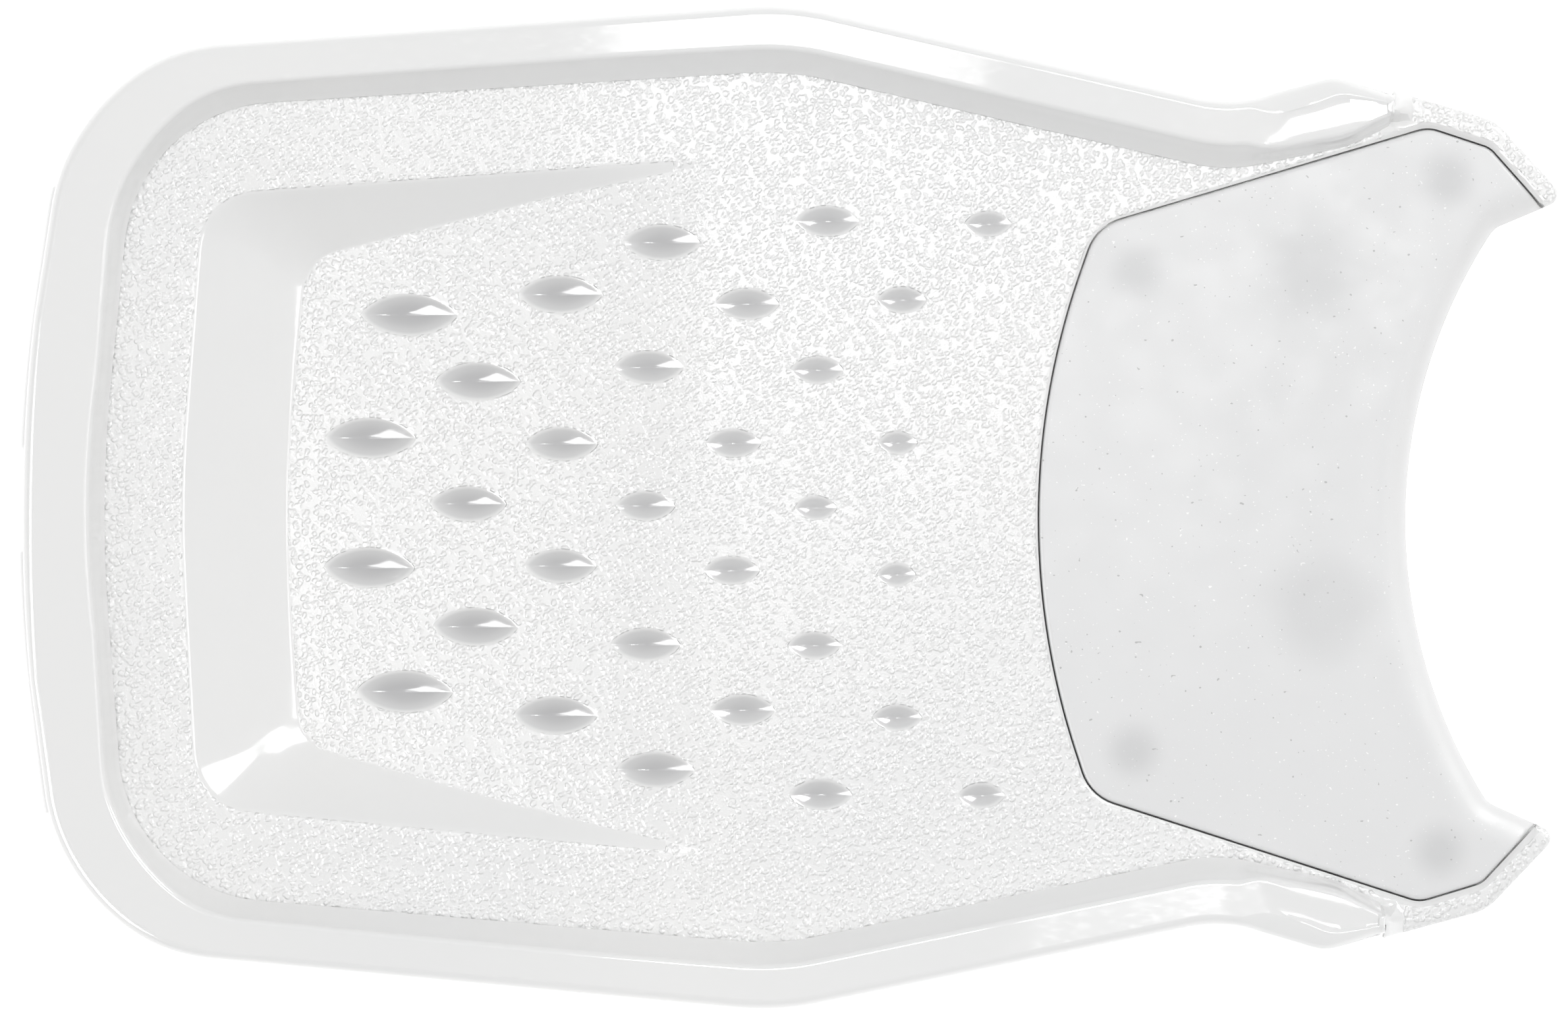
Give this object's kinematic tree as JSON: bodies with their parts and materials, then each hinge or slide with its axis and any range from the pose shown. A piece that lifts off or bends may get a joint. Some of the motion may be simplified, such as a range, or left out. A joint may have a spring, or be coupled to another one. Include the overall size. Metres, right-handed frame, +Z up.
{
  "type": "bedpan",
  "caption": "Shallow contoured bedpan with a raised rim, a dimpled deck with a sump, and a soft pad over the notched end.",
  "frame": {"origin": "on the surface it stands on, under the middle of its footprint", "axes": "+X along its length towards the notched, padded end; +Y across it; +Z up"},
  "size_m": [0.3792, 0.2488, 0.068],
  "materials": {
    "grained_plastic": "white, fine leather grain, semi-gloss",
    "gloss_plastic": "white, smooth, high gloss",
    "shell_plastic": "white, smooth, satin gloss",
    "soft_pad": "milky translucent soft elastomer, fine matt grain",
    "stud_plastic": "natural white nylon",
    "rubber": "matt light grey",
    "steel": "stainless"
  },
  "bodies": {
    "pan": {"tray": "grained_plastic", "rim": "gloss_plastic", "base_shell": "shell_plastic", "seam_seal": "rubber", "foot_deep_left": "rubber", "foot_deep_right": "rubber", "foot_notch_left": "rubber", "foot_notch_right": "rubber", "base_screw_deep_left": "steel", "base_screw_deep_right": "steel", "base_screw_middle_left": "steel", "base_screw_middle_right": "steel", "base_screw_notch_left": "steel", "base_screw_notch_right": "steel"},
    "pad": {"back_pad": "soft_pad", "pad_stud_inner_left": "stud_plastic", "pad_stud_inner_right": "stud_plastic", "pad_stud_outer_left": "stud_plastic", "pad_stud_outer_right": "stud_plastic"}
  },
  "joints": [
    {"name": "pad_lift", "type": "slide", "parent": "pan", "child": "pad", "axis": [0, 0, 1], "range_m": [0, 0.06]}
  ]
}
